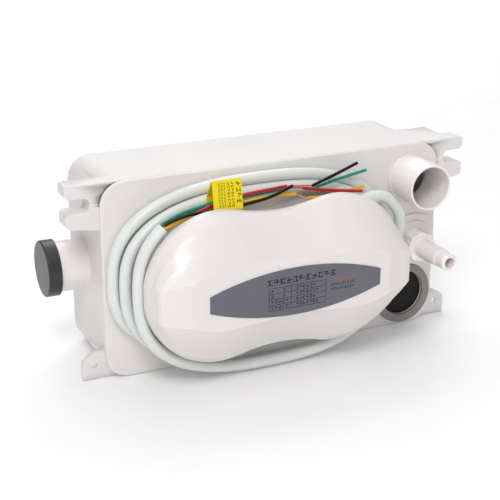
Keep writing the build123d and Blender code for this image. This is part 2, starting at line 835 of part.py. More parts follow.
pump_back = chamber_front + volute_cover_thickness
with BuildPart() as volute_screws:
    with BuildSketch(facing(-pump_back, motor_x, motor_z)):
        with PolarLocations(volute_screw_circle / 2, 3, start_angle=volute_screw_start):
            Circle(screw_head_diameter / 2)
    extrude(amount=-screw_head_height)
    with BuildSketch(facing(-pump_back, motor_x, motor_z)):
        with PolarLocations(volute_screw_circle / 2, 3, start_angle=volute_screw_start):
            Circle(screw_diameter / 2)
    extrude(amount=pump_back - panel_thickness)
save(volute_screws.part, "volute_screws")

with BuildPart() as impeller:
    with BuildSketch(facing(-impeller_back, motor_x, motor_z)):
        Circle(impeller_diameter / 2)
    extrude(amount=-impeller_plate)
    with BuildSketch(facing(-impeller_back, motor_x, motor_z)):
        Circle(impeller_hub / 2)
    extrude(amount=impeller_back - impeller_end)
    # backward-curved vanes
    vane_in = impeller_hub / 2 - impeller_vane_thickness / 2
    vane_out = impeller_diameter / 2 - impeller_vane_thickness
    vane_mid = (vane_in + vane_out) / 2
    sweep_angle = radians(impeller_sweep)
    for vane in range(impeller_vanes):
        turn = 2 * pi * vane / impeller_vanes
        with BuildSketch(Plane(origin=(motor_x, front + impeller_back + impeller_plate, motor_z),
                               x_dir=(cos(turn), 0, sin(turn)), z_dir=(0, -1, 0))):
            with BuildLine():
                ThreePointArc((vane_in, 0),
                              (vane_mid * cos(sweep_angle / 3), vane_mid * sin(sweep_angle / 3)),
                              (vane_out * cos(sweep_angle), vane_out * sin(sweep_angle)))
                offset(amount=impeller_vane_thickness / 2)
            make_face()
        extrude(amount=-impeller_vane_height)
    with BuildSketch(facing(-impeller_back, motor_x, motor_z)):
        Circle(shaft_diameter / 2)
    extrude(amount=impeller_back - impeller_end, mode=Mode.SUBTRACT)
save(impeller.part, "impeller")

# suction pipe: forward into the eye, down to a strainer just above the floor
strainer_foot = tank_wall + strainer_clearance
strainer_top = strainer_foot + strainer_height
suction_y = front + pump_back + suction_bend + suction_wall
with BuildPart() as suction_elbow:
    with BuildLine() as suction_path:
        FilletPolyline((motor_x, front + pump_back, motor_z), (motor_x, suction_y, motor_z),
                       (motor_x, suction_y, strainer_top), radius=suction_bend)
    with BuildSketch(facing(-pump_back, motor_x, motor_z)):
        Circle(suction_bore / 2 + suction_wall)
        Circle(suction_bore / 2, mode=Mode.SUBTRACT)
    sweep(path=suction_path.line)
save(suction_elbow.part, "suction_elbow")

with BuildPart() as inlet_strainer:
    with BuildSketch(Plane.XY.offset(strainer_foot)):
        with Locations((motor_x, suction_y)):
            Circle(strainer_diameter / 2)
    extrude(amount=strainer_height)
    with BuildSketch(Plane.XY.offset(strainer_foot)):
        with Locations((motor_x, suction_y)):
            Circle(strainer_diameter / 2 - strainer_wall)
    extrude(amount=strainer_height - strainer_wall, mode=Mode.SUBTRACT)
    with BuildSketch(Plane.XY.offset(strainer_foot)):
        with Locations((motor_x, suction_y)):
            Circle(suction_bore / 2)
    extrude(amount=strainer_height, mode=Mode.SUBTRACT)
    with BuildSketch(Plane.XY.offset(strainer_foot)):
        with Locations((motor_x, suction_y)):
            with PolarLocations(strainer_diameter / 2, strainer_slots):
                Rectangle(3 * strainer_wall, strainer_slot_width)
    extrude(amount=strainer_height - 2 * strainer_wall, mode=Mode.SUBTRACT)
save(inlet_strainer.part, "inlet_strainer")

# discharge pipe: along the top of the pump and down into the valve's housing
pipe_y = front + chamber_back + chamber_height / 2
pipe_z = motor_z + channel_z
with BuildPart() as discharge_pipe:
    with BuildLine() as discharge_path:
        FilletPolyline((motor_x + channel_end, pipe_y, pipe_z), (outlet_x, pipe_y, pipe_z),
                       (outlet_x, pipe_y, outlet_z), radius=discharge_bend)
    with BuildSketch(Plane.YZ.offset(motor_x + channel_end)):
        with Locations((pipe_y, pipe_z)):
            Circle(discharge_bore / 2 + discharge_wall)
            Circle(discharge_bore / 2, mode=Mode.SUBTRACT)
    sweep(path=discharge_path.line)
    with BuildSketch(facing(-panel_thickness, outlet_x, outlet_z)):
        Circle(valve_housing_diameter / 2)
    extrude(amount=-valve_housing_length, mode=Mode.SUBTRACT)
save(discharge_pipe.part, "discharge_pipe")

seat_front = panel_thickness + valve_chamber
housing_back = panel_thickness + valve_housing_length
with BuildPart() as valve_housing:
    with BuildSketch(facing(-panel_thickness, outlet_x, outlet_z)):
        Circle(valve_housing_diameter / 2)
    extrude(amount=-valve_housing_length)
    with BuildSketch(facing(-panel_thickness, outlet_x, outlet_z)):
        Circle(valve_housing_diameter / 2 - valve_housing_wall)
    extrude(amount=-valve_chamber, mode=Mode.SUBTRACT)
    with BuildSketch(facing(-seat_front, outlet_x, outlet_z)):
        Circle(valve_seat_bore / 2)
    extrude(amount=-valve_seat_thickness, mode=Mode.SUBTRACT)
    with BuildSketch(facing(-seat_front - valve_seat_thickness, outlet_x, outlet_z)):
        Circle(valve_housing_diameter / 2 - valve_housing_wall)
    extrude(amount=-(housing_back - valve_end - seat_front - valve_seat_thickness),
            mode=Mode.SUBTRACT)
    with BuildSketch(Plane.XY.offset(outlet_z)):
        with Locations((outlet_x, pipe_y)):
            Circle(discharge_bore / 2)
    extrude(amount=valve_housing_diameter / 2, mode=Mode.SUBTRACT)
save(valve_housing.part, "valve_housing")

with BuildPart() as check_valve:
    with BuildSketch(facing(valve_gap - seat_front, outlet_x, outlet_z)):
        Circle(valve_disc_diameter / 2)
    extrude(amount=valve_disc_thickness)
    with BuildSketch(facing(valve_gap - seat_front, outlet_x, outlet_z)):
        Rectangle(valve_seat_bore - 2 * valve_guide_gap, valve_guide_wall)
        Rectangle(valve_guide_wall, valve_seat_bore - 2 * valve_guide_gap)
    extrude(amount=-valve_guide_length)
save(check_valve.part, "check_valve")

# ------------------------------------------------------------ level float
float_y = front + float_depth
with BuildPart() as float_stem:
    # foot against the panel, arm out to the stem
    with BuildSketch(facing(-panel_thickness, float_x, bracket_height)):
        Rectangle(bracket_width, bracket_foot)
    extrude(amount=-bracket_thickness)
    with BuildSketch(Plane.XY.offset(bracket_height)):
        with Locations((float_x, float_y)):
            Circle(bracket_width / 2)
        with Locations((float_x, (front + panel_thickness + float_y) / 2)):
            Rectangle(bracket_width, float_depth - panel_thickness)
    extrude(amount=bracket_thickness)
    with BuildSketch(Plane.XY.offset(bracket_height)):
        with Locations((float_x, float_y)):
            Circle(stem_diameter / 2)
    extrude(amount=-stem_length)
save(float_stem.part, "float_stem")

stem_foot = bracket_height - stem_length
with BuildPart() as float_clip:
    with BuildSketch(Plane.XY.offset(stem_foot + clip_lift)):
        with Locations((float_x, float_y)):
            Circle(clip_diameter / 2)
            Circle(stem_diameter / 2, mode=Mode.SUBTRACT)
            with Locations((0, -clip_diameter / 2)):
                Rectangle(stem_diameter / 2, clip_diameter, mode=Mode.SUBTRACT)
    extrude(amount=clip_thickness)
save(float_clip.part, "float_clip")

float_foot = stem_foot + clip_lift + clip_thickness + float_gap
with BuildPart() as level_float:
    with BuildSketch(Plane.XY.offset(float_foot)):
        with Locations((float_x, float_y)):
            Circle(float_diameter / 2)
    extrude(amount=float_height)
    fillet(level_float.faces().filter_by(Axis.Z).edges(), float_round)
    with BuildSketch(Plane.XY.offset(float_foot)):
        with Locations((float_x, float_y)):
            Circle(stem_diameter / 2 + float_clearance)
    extrude(amount=float_height, mode=Mode.SUBTRACT)
save(level_float.part, "level_float")

# ------------------------------------------------------------ circuit board and its parts
board_back = board_post_height
board_front = board_post_height + board_thickness
with BuildPart() as circuit_board:
    with BuildSketch(facing(board_back, board_x, board_z)):
        RectangleRounded(board_length, board_height, board_corner)
        with GridLocations(board_hole_x, board_hole_z, 2, 2):
            Circle(screw_diameter / 2, mode=Mode.SUBTRACT)
    extrude(amount=board_thickness)
save(circuit_board.part, "circuit_board")

with BuildPart() as board_screws:
    with BuildSketch(facing(board_front, board_x, board_z)):
        with GridLocations(board_hole_x, board_hole_z, 2, 2):
            Circle(screw_head_diameter / 2)
    extrude(amount=screw_head_height)
    with BuildSketch(facing(board_front, board_x, board_z)):
        with GridLocations(board_hole_x, board_hole_z, 2, 2):
            Circle(screw_diameter / 2)
    extrude(amount=-board_front)
save(board_screws.part, "board_screws")

with BuildPart() as transformer:
    with BuildSketch(facing(board_front, board_x - transformer_shift, board_z - transformer_drop)):
        Rectangle(transformer_length, transformer_height)
    extrude(amount=transformer_depth)
    chamfer(transformer.edges().filter_by(Axis.Y), transformer_chamfer)
save(transformer.part, "transformer")

with BuildPart() as relay:
    with BuildSketch(facing(board_front, board_x + relay_shift, board_z - transformer_drop)):
        RectangleRounded(relay_length, relay_height, relay_round)
    extrude(amount=relay_depth)
save(relay.part, "relay")

with BuildPart() as capacitor:
    with BuildSketch(facing(board_front, board_x + relay_shift, board_z + capacitor_rise)):
        Circle(capacitor_diameter / 2)
    extrude(amount=capacitor_length)
    fillet(capacitor.faces().sort_by(Axis.Y)[0].edges(), relay_round)
save(capacitor.part, "capacitor")

with BuildPart() as terminal_block:
    with BuildSketch(facing(board_front, board_x - terminal_shift, board_z + capacitor_rise)):
        Rectangle(terminal_length, terminal_height)
    extrude(amount=terminal_depth)
    with BuildSketch(facing(board_front + terminal_depth, board_x - terminal_shift,
                            board_z + capacitor_rise)):
        with GridLocations(terminal_length / 4, 0, 4, 1):
            Circle(terminal_hole / 2)
    extrude(amount=-terminal_hole_depth, mode=Mode.SUBTRACT)
save(terminal_block.part, "terminal_block")

# ------------------------------------------------------------ supply cable, wound on the spool
gland_x = cover_x + neck_spacing + (neck_lobe - neck_wall) * cos(radians(gland_angle))
gland_z = cover_z + (neck_lobe - neck_wall) * sin(radians(gland_angle))
with BuildPart() as cable_gland:
    gland_direction = (cos(radians(gland_tilt)), 0, sin(radians(gland_tilt)))
    gland_root = Plane(origin=(gland_x, front - gland_depth, gland_z), z_dir=gland_direction)
    with BuildSketch(gland_root):
        Circle(gland_diameter / 2)
    with BuildSketch(gland_root.offset(gland_length)):
        Circle(cable_diameter / 2 + gland_lip)
    loft()
    with BuildSketch(facing(0, cover_x, cover_z)):
        with BuildLine():
            waisted(**neck)
        make_face()
    extrude(amount=spool_depth, mode=Mode.SUBTRACT)
save(cable_gland.part, "cable_gland")

# the last half turn, which stands proud of the others and ends where the sheath is stripped
tail_route = [place(-100, 25.5, 33), place(-110, 26, 58), place(-109.5, 26.2, 84),
              place(-93, 26, 109.7)]
tail_radii = bend_radii(tail_route)
print("cable bend radii", [round(radius, 1) for radius in tail_radii])
with BuildPart() as cable_tail:
    with BuildLine() as tail_path:
        FilletPolyline(*tail_route, radius=tail_radii)
    with BuildSketch(Plane(origin=tail_path.line @ 0, z_dir=tail_path.line % 0)):
        Circle(cable_diameter / 2)
    sweep(path=tail_path.line)
save(cable_tail.part, "cable_tail")

# the wound turns, as the closed shape that they fill
with BuildPart() as cable_coil:
    for depth, left, right, bottom, top in (
            (coil_gap, coil_left, coil_right, coil_bottom, coil_top),
            (coil_shoulder, coil_left, coil_right, coil_shoulder_bottom, coil_top),
            (coil_depth, coil_front_left, coil_front_right, coil_front_bottom, coil_front_top)):
        with BuildSketch(facing(depth, (left + right) / 2, (bottom + top) / 2)):
            with BuildLine():
                waisted((right - left) / 2, (top - bottom) / 2, (top - bottom) / 2 - coil_hollow,
                        coil_lobe_radius, coil_spacing)
            make_face()
    loft(ruled=True)
    with BuildSketch(facing(0, cover_x, cover_z)):
        with BuildLine():
            waisted(**neck, inset=-coil_clearance)
        make_face()
    extrude(amount=spool_depth, mode=Mode.SUBTRACT)
    # pocket for the gland
    with BuildSketch(gland_root):
        Circle(gland_diameter / 2 + gland_clearance)
    with BuildSketch(gland_root.offset(gland_length)):
        Circle(cable_diameter / 2 + gland_lip + gland_clearance)
    loft(mode=Mode.SUBTRACT)
    add(cable_tail.part, mode=Mode.SUBTRACT)
save(cable_coil.part, "cable_coil")

# four cores: each leaves the sheath's end, is stripped for a short window, and ends in a sleeve
green_route = [place(-93.5, 24.7, 111.3), place(-83, 23, 115.6), place(-69.6, 21.6, 118),
               place(-50.6, 20.6, 120.6), place(-27, 19.6, 120.8), place(-2, 17.4, 121.4)]
black_route = [place(-92.5, 27.4, 112), place(-81.3, 28.6, 116.7), place(-61, 29, 117.2),
               place(-39.4, 28, 117.9), place(-19.6, 26.5, 119.6), place(-3, 25, 125)]
yellow_route = [place(-93, 27.4, 109.2), place(-81.7, 26.7, 113.4), place(-61.3, 26.2, 114.6),
                place(-40.2, 25.2, 118.6), place(-19.6, 23.5, 119.8), place(1.4, 22, 118.1)]
red_route = [place(-92.5, 24.8, 108.5), place(-78.2, 23.6, 112.4), place(-61.7, 23.6, 118.4),
             place(-39.2, 22.9, 122.8), place(-23.2, 22, 123.5), place(-5, 20.4, 123.8)]
green_sleeve = [place(16.8, 18, 119.2), place(38.2, 14.5, 122.3), place(60.2, 11, 124.2)]
black_sleeve = [place(13.4, 22.2, 122.4), place(33.4, 17.5, 126.4), place(52.1, 12.5, 130.5)]
yellow_sleeve = [place(9, 24.5, 114.9), place(25.9, 23.8, 113.9), place(53.5, 19, 115.9)]
red_sleeve = [place(8, 19.2, 120.5), place(25.8, 23.5, 117.6), place(49.3, 25, 114.7)]

routes = {}
for core, route, sleeve in (("green", green_route, green_sleeve),
                            ("black", black_route, black_sleeve),
                            ("yellow", yellow_route, yellow_sleeve),
                            ("red", red_route, red_sleeve)):
    routes[core] = (route[-1], sleeve[0])
    with BuildPart() as wire:
        for run in (route, sleeve):
            radii = bend_radii(run)
            print("wire", core, "bend radii", [round(radius, 1) for radius in radii])
            with BuildLine() as run_path:
                FilletPolyline(*run, radius=radii)
            with BuildSketch(Plane(origin=run_path.line @ 0, z_dir=run_path.line % 0)):
                Circle(core_diameter / 2)
            sweep(path=run_path.line)
    save(wire.part, f"wire_{core}")

with BuildPart() as copper_windows:
    for start, end in routes.values():
        window = Vector(*end) - Vector(*start)
        with BuildSketch(Plane(origin=start, z_dir=window).offset(copper_gap)):
            Circle(copper_diameter / 2)
        extrude(amount=window.length - 2 * copper_gap)
save(copper_windows.part, "copper_windows")

# paper flag: a loop round the cores whose two leaves are stuck together above them
with BuildPart() as wire_flag:
    with BuildSketch(Plane.YZ.offset(flag_x - flag_length / 2)):
        with BuildLine():
            FilletPolyline(place(0, 27.6, 136)[1:], place(0, 30.7, 117.5)[1:],
                           place(0, 29.8, 113.6)[1:], place(0, 26, 111.6)[1:],
                           place(0, 18.4, 117.4)[1:], place(0, 18.6, 124)[1:],
                           place(0, 26.6, 136)[1:], radius=flag_round, close=True)
        make_face()
        offset(amount=-flag_thickness, mode=Mode.SUBTRACT)
    extrude(amount=flag_length)
save(wire_flag.part, "wire_flag")
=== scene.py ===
from math import cos, pi, radians, sin
import bmesh
import bpy
from mathutils import Matrix, Vector


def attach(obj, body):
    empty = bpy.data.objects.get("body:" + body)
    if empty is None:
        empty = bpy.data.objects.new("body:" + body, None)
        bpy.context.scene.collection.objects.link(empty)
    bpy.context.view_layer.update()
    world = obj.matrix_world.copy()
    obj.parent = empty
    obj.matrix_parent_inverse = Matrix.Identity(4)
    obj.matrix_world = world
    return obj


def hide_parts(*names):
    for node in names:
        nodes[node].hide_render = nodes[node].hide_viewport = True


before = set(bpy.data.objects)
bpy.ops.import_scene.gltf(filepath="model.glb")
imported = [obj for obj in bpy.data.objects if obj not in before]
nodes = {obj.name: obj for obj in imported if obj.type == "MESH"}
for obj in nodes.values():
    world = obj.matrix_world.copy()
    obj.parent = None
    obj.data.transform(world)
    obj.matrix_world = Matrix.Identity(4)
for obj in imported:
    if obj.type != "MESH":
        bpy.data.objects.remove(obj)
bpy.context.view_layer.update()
mm = 0.001
panelFace = -0.0365


def place(x, depth, z):
    # millimetres along the panel, out from its face, and up
    return Vector((x * mm, panelFace - depth * mm, z * mm))


# camera
camera = {"spot": (-0.33228, -0.70124, 0.34601), "azimuth": 24.2, "elevation": 19.4,
          "roll": -0.23, "lens": 83.70, "sensor": 36, "shift": (0.0332, -0.0342)}
lookAlong = Vector((sin(radians(camera["azimuth"])) * cos(radians(camera["elevation"])),
                    cos(radians(camera["azimuth"])) * cos(radians(camera["elevation"])),
                    -sin(radians(camera["elevation"]))))
sideways = lookAlong.cross(Vector((0, 0, 1))).normalized()
upwards = sideways.cross(lookAlong)
tilt = radians(camera["roll"])
right = sideways * cos(tilt) + upwards * sin(tilt)
up = upwards * cos(tilt) - sideways * sin(tilt)
bpy.ops.object.camera_add()
viewer = bpy.context.object
viewer.name = "viewer"
viewer.matrix_world = Matrix((right, up, -lookAlong)).transposed().to_4x4()
viewer.location = camera["spot"]
viewer.data.lens = camera["lens"]
viewer.data.sensor_width = camera["sensor"]
viewer.data.shift_x, viewer.data.shift_y = camera["shift"]
bpy.context.scene.camera = viewer
print("camera placed")


# materials
def newMaterial(name, colour, roughness):
    material = bpy.data.materials.new(name)
    material.use_nodes = True
    shader = material.node_tree.nodes["Principled BSDF"]
    shader.inputs["Base Color"].default_value = (*colour, 1)
    shader.inputs["Roughness"].default_value = roughness
    return material, shader, material.node_tree


def addNode(tree, kind, **values):
    node = tree.nodes.new(kind)
    for name, value in values.items():
        node.inputs[name.replace("_", " ")].default_value = value
    return node


def onObject(tree, node):
    where = tree.nodes.new("ShaderNodeTexCoord")
    tree.links.new(where.outputs["Object"], node.inputs["Vector"])


def colourRamp(tree, value, shader, low, high, lowAt=0.0, highAt=1.0):
    ramp = tree.nodes.new("ShaderNodeValToRGB")
    for element, colour, position in zip(ramp.color_ramp.elements, (low, high), (lowAt, highAt)):
        element.color = (*colour, 1)
        element.position = position
    tree.links.new(value, ramp.inputs["Fac"])
    tree.links.new(ramp.outputs["Color"], shader.inputs["Base Color"])


def bumpSkin(tree, height, shader, strength, distance):
    bump = addNode(tree, "ShaderNodeBump", Strength=strength, Distance=distance)
    tree.links.new(height, bump.inputs["Height"])
    tree.links.new(bump.outputs["Normal"], shader.inputs["Normal"])


plastic = {"cloudScale": 14.0, "cloudDetail": 3.0, "deepTo": 0.35, "plainFrom": 0.65,
           "skinDetail": 2.0, "skinHeight": 0.001, "glossier": 0.85, "duller": 1.2,
           "coatRoughness": 0.12}


def moulded(name, colour, deep, roughness=0.35, grain=900, relief=0.02, coat=0.0, shine=0.4):
    # injection-moulded plastic: faint cloudiness in the colour and a fine skin
    material, shader, tree = newMaterial(name, colour, roughness)
    cloud = addNode(tree, "ShaderNodeTexNoise", Scale=plastic["cloudScale"],
                    Detail=plastic["cloudDetail"])
    onObject(tree, cloud)
    colourRamp(tree, cloud.outputs["Fac"], shader, deep, colour, plastic["deepTo"],
               plastic["plainFrom"])
    skin = addNode(tree, "ShaderNodeTexNoise", Scale=float(grain), Detail=plastic["skinDetail"])
    onObject(tree, skin)
    bumpSkin(tree, skin.outputs["Fac"], shader, relief, plastic["skinHeight"])
    sheen = addNode(tree, "ShaderNodeMapRange", To_Min=roughness * plastic["glossier"],
                    To_Max=roughness * plastic["duller"])
    tree.links.new(cloud.outputs["Fac"], sheen.inputs["Value"])
    tree.links.new(sheen.outputs["Result"], shader.inputs["Roughness"])
    shader.inputs["Specular IOR Level"].default_value = shine
    if coat:
        shader.inputs["Coat Weight"].default_value = coat
        shader.inputs["Coat Roughness"].default_value = plastic["coatRoughness"]
    return material


brushed = {"scale": 300.0, "detail": 4.0, "relief": 0.1, "height": 0.0005}


def metal(name, colour, deep, roughness=0.3, stretch=(1, 60, 1)):
    # metal with fine marks drawn out across the second axis
    material, shader, tree = newMaterial(name, colour, roughness)
    shader.inputs["Metallic"].default_value = 1.0
    along = addNode(tree, "ShaderNodeMapping", Scale=stretch)
    onObject(tree, along)
    brushing = addNode(tree, "ShaderNodeTexNoise", Scale=brushed["scale"],
                       Detail=brushed["detail"])
    tree.links.new(along.outputs["Vector"], brushing.inputs["Vector"])
    colourRamp(tree, brushing.outputs["Fac"], shader, deep, colour)
    bumpSkin(tree, brushing.outputs["Fac"], shader, brushed["relief"], brushed["height"])
    return material


screen = {"pitch": 1.6, "jitter": 0.15, "dotTo": 0.25, "groundFrom": 0.38, "relief": 0.4,
          "height": 0.0004, "shine": 0.2}


def dottedSheen(name, ground, dots, roughness=0.5):
    # black moulding with a fine screen of dots, the dots painted lighter than the ground as a
    # painted sheen and raised in the bump
    material, shader, tree = newMaterial(name, ground, roughness)
    cells = addNode(tree, "ShaderNodeTexVoronoi", Scale=1000.0 / screen["pitch"],
                    Randomness=screen["jitter"])
    onObject(tree, cells)
    # the dots get the lighter colour: painted sheen; the ground keeps the plug's own black
    colourRamp(tree, cells.outputs["Distance"], shader, dots, ground, screen["dotTo"],
               screen["groundFrom"])
    bumpSkin(tree, cells.outputs["Distance"], shader, screen["relief"], screen["height"])
    shader.inputs["Specular IOR Level"].default_value = screen["shine"]
    return material


# the port plug: real dimpled relief, with its dimples painted lighter as a painted sheen
plugBlack = dottedSheen("plug_rubber", (0.006, 0.006, 0.006), (0.045, 0.03, 0.022))
inkBlack = moulded("ink", (0.02, 0.02, 0.022), (0.012, 0.012, 0.014), 0.6, shine=0.1)
inkOrange = moulded("ink_orange", (0.55, 0.16, 0.03), (0.45, 0.12, 0.02), 0.6, shine=0.1)
warmWhite = moulded("warm_white_plastic", (0.80, 0.755, 0.745), (0.775, 0.73, 0.72), 0.32,
                    coat=0.15)
spoutWhite = moulded("spout_white_plastic", (0.90, 0.85, 0.84), (0.875, 0.825, 0.815), 0.32,
                     coat=0.15)
tankWhite = moulded("tank_white_plastic", (0.78, 0.745, 0.74), (0.755, 0.72, 0.715), 0.4)
ringGrey = moulded("ring_grey_plastic", (0.25, 0.238, 0.22), (0.21, 0.20, 0.186), 0.4, shine=0.3)
# black rubber, its colour lifted a little above the rubber's own black as a painted reflection on
# the side cap's face
blackRubber = moulded("black_rubber", (0.030, 0.029, 0.030), (0.022, 0.021, 0.022), 0.35, coat=0.1)
labelGrey = moulded("label_grey_film", (0.150, 0.146, 0.176), (0.135, 0.131, 0.158), 0.45,
                    relief=0.01, shine=0.25)
sheathWhite = moulded("cable_sheath", (0.745, 0.77, 0.75), (0.71, 0.735, 0.715), 0.3, grain=500,
                      coat=0.2)
coreGreen = moulded("core_green", (0.004, 0.33, 0.22), (0.003, 0.25, 0.16), 0.3, coat=0.2)
coreBlack = moulded("core_black", (0.006, 0.006, 0.006), (0.003, 0.003, 0.003), 0.35, shine=0.25)
coreYellow = moulded("core_yellow", (0.85, 0.50, 0.008), (0.74, 0.41, 0.006), 0.3, coat=0.2)
coreRed = moulded("core_red", (0.52, 0.012, 0.014), (0.42, 0.008, 0.01), 0.3, coat=0.2)
flagPaper = moulded("flag_yellow_film", (0.83, 0.66, 0.008), (0.76, 0.58, 0.006), 0.4, shine=0.3)
copper = metal("bare_copper", (0.90, 0.42, 0.24), (0.65, 0.26, 0.13), 0.3)
steel = metal("steel", (0.62, 0.62, 0.62), (0.45, 0.45, 0.46), 0.3)
motorSteel = metal("motor_steel", (0.45, 0.46, 0.47), (0.32, 0.33, 0.34), 0.35)
magnetBlack = moulded("magnet", (0.03, 0.03, 0.033), (0.02, 0.02, 0.022), 0.5)
windings = metal("windings", (0.50, 0.20, 0.07), (0.30, 0.10, 0.03), 0.35, stretch=(1, 12, 1))
pumpPlastic = moulded("pump_plastic", (0.05, 0.052, 0.06), (0.035, 0.037, 0.045), 0.45)
floatFoam = moulded("float_foam", (0.03, 0.03, 0.03), (0.015, 0.015, 0.015), 0.8, grain=1400,
                    relief=0.3)
boardGreen = moulded("board_green", (0.01, 0.12, 0.04), (0.006, 0.08, 0.025), 0.3, coat=0.5)
boardPart = moulded("board_part", (0.02, 0.02, 0.025), (0.012, 0.012, 0.015), 0.4)
capacitorBlue = moulded("capacitor_sleeve", (0.01, 0.02, 0.12), (0.006, 0.012, 0.08), 0.3, coat=0.4)
terminalGreen = moulded("terminal_plastic", (0.01, 0.14, 0.05), (0.006, 0.10, 0.035), 0.4)

finish = {
    warmWhite: ["front_panel", "side_spout", "dome_cover", "cable_spool"],
    spoutWhite: ["inlet_spout", "outlet_fitting"],
    tankWhite: ["tank_shell"], ringGrey: ["port_ring"], plugBlack: ["port_plug"],
    blackRubber: ["side_cap", "shaft_seal", "panel_gasket", "check_valve"],
    labelGrey: ["label_plate"], sheathWhite: ["cable_coil", "cable_tail", "cable_gland"],
    coreGreen: ["wire_green"], coreBlack: ["wire_black"], coreYellow: ["wire_yellow"],
    coreRed: ["wire_red"], copper: ["copper_windows"], flagPaper: ["wire_flag"],
    motorSteel: ["motor_can", "motor_bracket", "stator_core"], windings: ["motor_coils"],
    steel: ["rotor_shaft", "front_bearing", "rear_bearing", "motor_screws", "volute_screws",
            "board_screws", "float_clip"],
    magnetBlack: ["rotor_magnet"],
    pumpPlastic: ["volute", "volute_cover", "impeller", "suction_elbow", "inlet_strainer",
                  "discharge_pipe", "valve_housing", "float_stem"],
    floatFoam: ["level_float"], boardGreen: ["circuit_board"],
    boardPart: ["transformer", "relay"], capacitorBlue: ["capacitor"],
    terminalGreen: ["terminal_block"],
}
smoothing = {"angle": 34, "weight": 50}


def soften(piece):
    bpy.ops.object.select_all(action="DESELECT")
    piece.select_set(True)
    bpy.context.view_layer.objects.active = piece
    bpy.ops.object.shade_smooth_by_angle(angle=radians(smoothing["angle"]))
    weighting = piece.modifiers.new("weighting", "WEIGHTED_NORMAL")
    weighting.keep_sharp = True
    weighting.weight = smoothing["weight"]
    bpy.ops.object.modifier_apply(modifier=weighting.name)


for material, names in finish.items():
    for name in names:
        nodes[name].data.materials.clear()
        nodes[name].data.materials.append(material)
for node in nodes.values():
    soften(node)
print("finishes laid on the CAD pieces")


def meshCopy(node, name, move):
    # a new piece with the CAD piece's mesh, its points moved by a rule
    piece = nodes[node].copy()
    piece.data = nodes[node].data.copy()
    piece.name = name
    bpy.context.scene.collection.objects.link(piece)
    for vertex in piece.data.vertices:
        vertex.co = move(vertex.co)
    piece.data.update()
    return piece


# the tank, with taller hook slots in its upper ears and the corners of their prongs rounded
prongs = {"end": 147.0, "reach": 0.6, "lowest": 100.0, "highest": 130.0, "round": 3.0,
          "slotFrom": 128.0, "slotMiddle": 122.5, "slotHalf": 3.9, "taller": 1.2, "lower": 0.75,
          "shortest": 5.0, "steps": 6, "weld": 1e-6, "flat": 0.5}


def tallerSlot(point):
    fromMiddle = point.z / mm - prongs["slotMiddle"]
    if abs(point.x) < prongs["slotFrom"] * mm or abs(fromMiddle) > prongs["slotHalf"]:
        return point
    height = prongs["slotMiddle"] + fromMiddle * prongs["taller"] - prongs["lower"]
    return Vector((point.x, point.y, height * mm))


def prongCorner(edge):
    ends = [vertex.co for vertex in edge.verts]
    if abs(ends[0].y - ends[1].y) < prongs["shortest"] * mm:
        return False
    return all(abs(abs(end.x) - prongs["end"] * mm) < prongs["reach"] * mm
               and prongs["lowest"] * mm < end.z < prongs["highest"] * mm for end in ends)


tankPiece = meshCopy("tank_shell", "tankBody", tallerSlot)
work = bmesh.new()
work.from_mesh(tankPiece.data)
bmesh.ops.remove_doubles(work, verts=work.verts, dist=prongs["weld"])
bmesh.ops.dissolve_limit(work, angle_limit=radians(prongs["flat"]), verts=work.verts,
                         edges=work.edges)
corners = [edge for edge in work.edges if prongCorner(edge)]
bmesh.ops.bevel(work, geom=corners, offset=prongs["round"] * mm, segments=prongs["steps"],
                profile=0.5, affect="EDGES")
bmesh.ops.triangulate(work, faces=[face for face in work.faces if len(face.verts) > 4])
work.to_mesh(tankPiece.data)
work.free()
soften(tankPiece)
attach(tankPiece, "housing")
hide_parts("tank_shell")
print("tank with rounded prongs,", len(corners), "corners")

# the outlet, with a barb that narrows toward its tip
barb = {"axis": (107.0, 62.0), "start": 14.0, "length": 24.0, "rootRadius": 7.0, "narrower": 0.5,
        "ridge": 0.15, "ridgeFrom": 21.9, "outside": (5.0, 7.6), "slack": 0.1}


def narrowed(point):
    across = Vector((point.x - barb["axis"][0] * mm, 0, point.z - barb["axis"][1] * mm))
    along = (panelFace - point.y) / mm - barb["start"]
    radius = across.length / mm
    if along < -barb["slack"] or not barb["outside"][0] < radius < barb["outside"][1]:
        return point
    limit = barb["rootRadius"] - barb["narrower"] * along / barb["length"]
    if along > barb["ridgeFrom"]:
        limit += barb["ridge"]
    kept = min(1.0, limit / radius)
    return Vector((barb["axis"][0] * mm, point.y, barb["axis"][1] * mm)) + across * kept


slimOutlet = meshCopy("outlet_fitting", "slimOutlet", narrowed)
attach(slimOutlet, "housing")
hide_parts("outlet_fitting")
print("outlet with its narrowed barb")

# the side spout is longer than the CAD's, and its cap stands that much further out
sideSpout = {"stretchFrom": -130.0, "longer": 5.2}


def capPlace(point):
    return point + Vector((-sideSpout["longer"] * mm, 0, 0))


def spoutPlace(point):
    return capPlace(point) if point.x < sideSpout["stretchFrom"] * mm else point


spoutPiece = meshCopy("side_spout", "longSideSpout", spoutPlace)
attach(spoutPiece, "housing")
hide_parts("side_spout")
capPiece = meshCopy("side_cap", "sideCap", capPlace)
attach(capPiece, "spout_cap")
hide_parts("side_cap")
print("side spout and cap")


# cords and strands: round lines through control points
cordBuild = {"ringSteps": 5, "runSteps": 6}


def roundCurve(name, diameter, ringSteps, material):
    curve = bpy.data.curves.new(name, "CURVE")
    curve.dimensions = "3D"
    curve.bevel_depth = diameter / 2
    curve.bevel_resolution = ringSteps
    curve.use_fill_caps = True
    curve.materials.append(material)
    return curve


def addRun(curve, points, runSteps, radii=None):
    spline = curve.splines.new("NURBS")
    spline.points.add(len(points) - 1)
    for count, (spot, point) in enumerate(zip(spline.points, points)):
        spot.co = (*point, 1)
        spot.radius = radii[count] if radii else 1.0
    spline.order_u = 3
    spline.use_endpoint_u = True
    spline.resolution_u = runSteps


def onHousing(name, data):
    piece = bpy.data.objects.new(name, data)
    bpy.context.scene.collection.objects.link(piece)
    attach(piece, "housing")
    return piece


